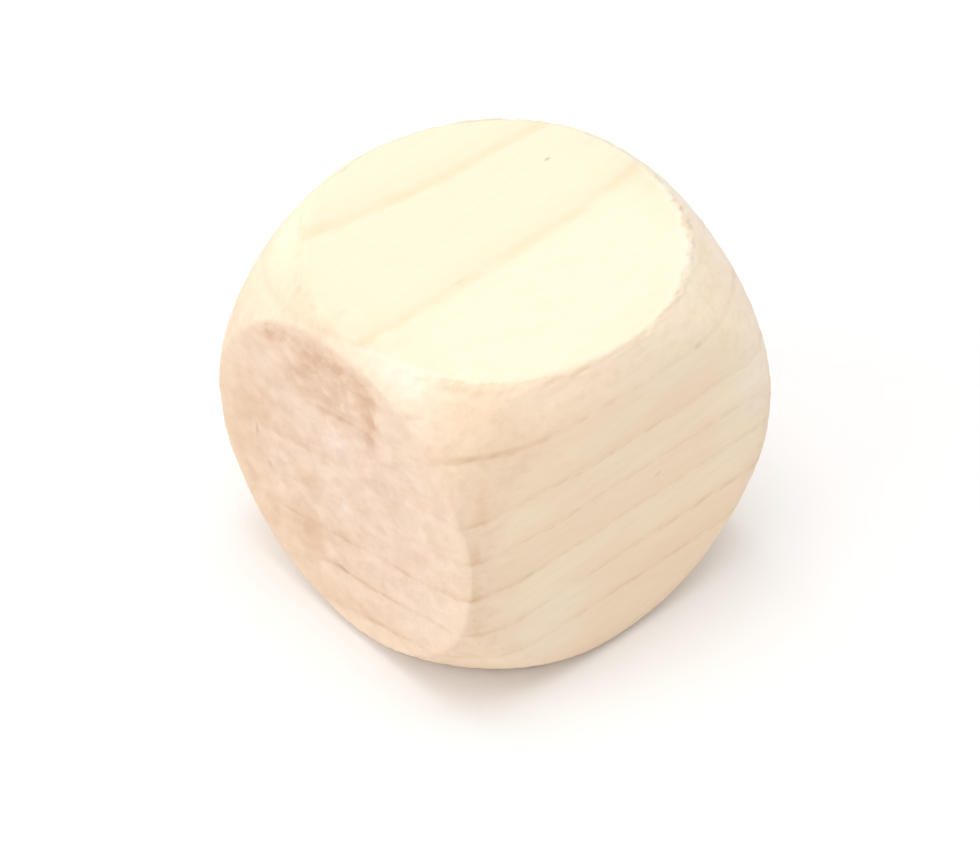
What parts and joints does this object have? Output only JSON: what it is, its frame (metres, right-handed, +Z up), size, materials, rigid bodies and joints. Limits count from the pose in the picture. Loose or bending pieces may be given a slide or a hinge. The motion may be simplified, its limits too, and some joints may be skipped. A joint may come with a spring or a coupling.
{
  "type": "wooden cube",
  "caption": "Small solid cube of pale wood with round flats, eased rims and ball-turned corners; stands on any face as a blank die, counter or spacer.",
  "frame": {"origin": "centre of the bottom flat", "axes": "+Z up through the centres of the bottom and top flats; X along the grain, so the end grain is on the -X and +X flats; Y across the grain"},
  "size_m": [0.02, 0.02, 0.02],
  "materials": {
    "pale_wood": "fine-sanded bare wood, unsealed"
  },
  "bodies": {
    "root": {"wooden_cube": "pale_wood"}
  },
  "joints": []
}
